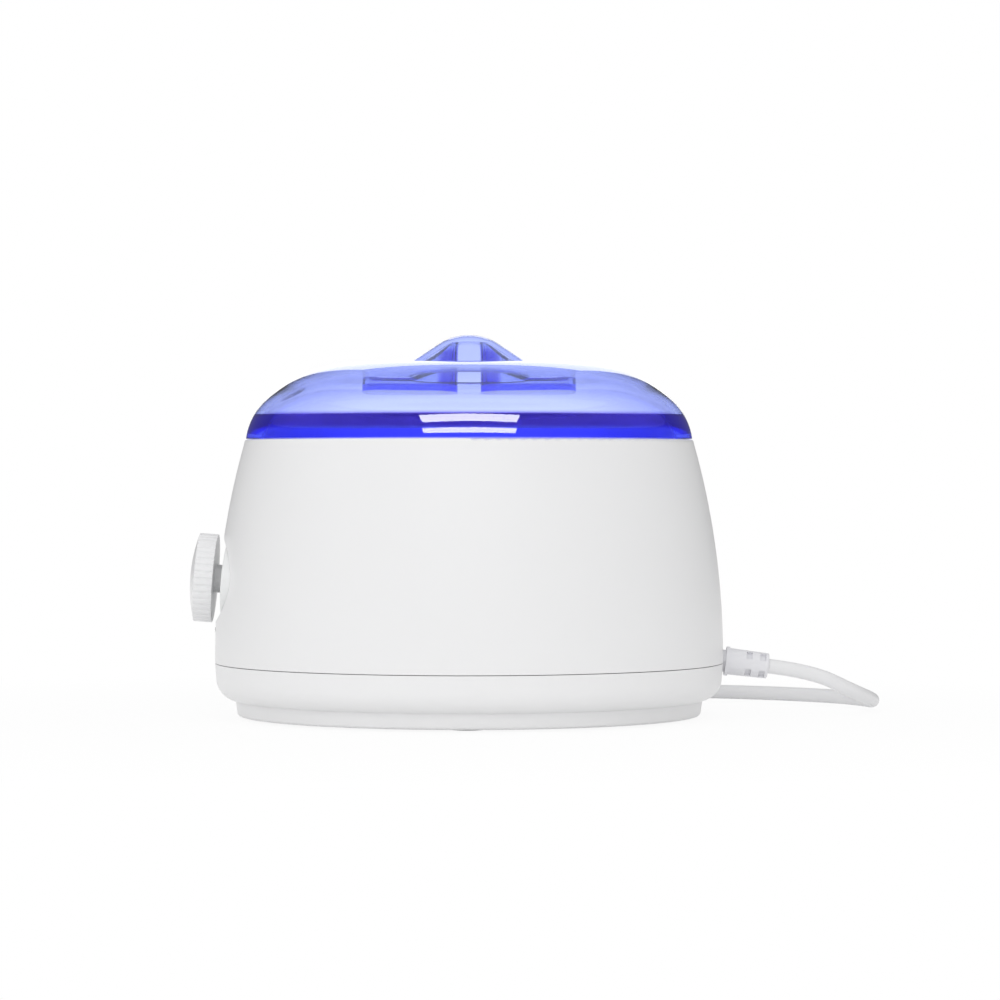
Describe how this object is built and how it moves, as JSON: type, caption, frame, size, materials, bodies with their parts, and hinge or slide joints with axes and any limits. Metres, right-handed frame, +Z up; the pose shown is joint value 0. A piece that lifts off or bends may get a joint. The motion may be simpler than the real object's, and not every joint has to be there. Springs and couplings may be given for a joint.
{
  "type": "wax warmer",
  "caption": "Round white table-top wax warmer with a clear blue domed lid, a lift-out pot, a front thermostat knob and a mains lead.",
  "frame": {"origin": "on the body's vertical axis, at the table that the rubber feet stand on", "axes": "+Z up; the control knob faces -X, the mains lead leaves at +X"},
  "size_m": [0.2495, 0.2686, 0.1359],
  "materials": {
    "white_shell": "satin-gloss white moulding",
    "white_panel": "smooth white moulding",
    "white_knob": "smooth white moulding with a ribbed rim",
    "blue_clear": "clear blue styrene",
    "pot_metal": "spun, satin",
    "well_metal": "pressed, dull",
    "bail_wire": "bright wire",
    "plated_steel": "zinc plated",
    "shield_sheet": "galvanised sheet",
    "silicone": "clear silicone",
    "foot_rubber": "soft grey rubber",
    "mica": "pressed mica",
    "band_steel": "heat-tinted strip",
    "phenolic": "dark thermoset",
    "copper": "drawn copper tube",
    "brass": "turned brass",
    "lens_amber": "dark translucent lens",
    "lamp_glass": "small neon lamp",
    "holder_plastic": "natural nylon",
    "block_plastic": "natural nylon",
    "flex_white": "white PVC sheath",
    "gland_white": "white PVC moulding",
    "tie_white": "plastic-covered wire tie",
    "plug_white": "white PVC moulding",
    "pin_metal": "nickel-plated brass",
    "wire_silicone": "glass-braid silicone wire"
  },
  "bodies": {
    "root": {"upper_housing": "white_shell", "base_tray": "white_shell", "rubber_feet": "foot_rubber", "case_screws": "plated_steel", "heater_well": "well_metal", "well_seal": "silicone", "mica_wrap": "mica", "heating_element": "band_steel", "band_strap": "plated_steel", "strap_screw": "plated_steel", "heat_shield": "shield_sheet", "shield_screws": "plated_steel", "fascia_plate": "white_panel", "fascia_screws": "plated_steel", "thermostat_body": "phenolic", "thermostat_nut": "brass", "indicator_lens": "lens_amber", "lamp_holder": "holder_plastic", "indicator_lamp": "lamp_glass", "thermostat_probe": "copper", "probe_clip": "plated_steel", "thermal_fuse": "holder_plastic", "fuse_clip": "plated_steel", "capillary_tube": "copper", "strain_relief": "gland_white", "lead_inside": "flex_white", "cord_clamp": "holder_plastic", "clamp_screws": "plated_steel", "terminal_block": "block_plastic", "terminal_screws": "brass", "mains_wires": "wire_silicone", "thermostat_wires": "wire_silicone", "element_wires": "wire_silicone", "lamp_wires": "wire_silicone", "flex_lead": "flex_white", "flex_coil": "flex_white", "coil_tie": "tie_white", "flex_tail": "flex_white", "plug_body": "plug_white", "plug_pins": "pin_metal"},
    "knob": {"control_knob": "white_knob", "thermostat_shaft": "plated_steel"},
    "pot": {"inner_pot": "pot_metal"},
    "bail": {"bail_handle": "bail_wire"},
    "lid": {"lid": "blue_clear"}
  },
  "joints": [
    {"name": "knob_turn", "type": "hinge", "parent": "root", "child": "knob", "pos_m": [-0.08639, 0, 0.049], "axis": [0.9969, 0, -0.0785], "range_deg": [0, 270]},
    {"name": "pot_lift", "type": "slide", "parent": "root", "child": "pot", "axis": [0, 0, 1], "range_m": [0, 0.12]},
    {"name": "lid_lift", "type": "slide", "parent": "pot", "child": "lid", "axis": [0, 0, 1], "range_m": [0, 0.13]},
    {"name": "bail_swing", "type": "hinge", "parent": "pot", "child": "bail", "pos_m": [0, 0, 0.1034], "axis": [1, 0, 0], "range_deg": [0, 90]}
  ],
  "couplings": [
    {"joint": "bail_swing", "follows": "lid_lift", "rad_per_m": 12}
  ]
}
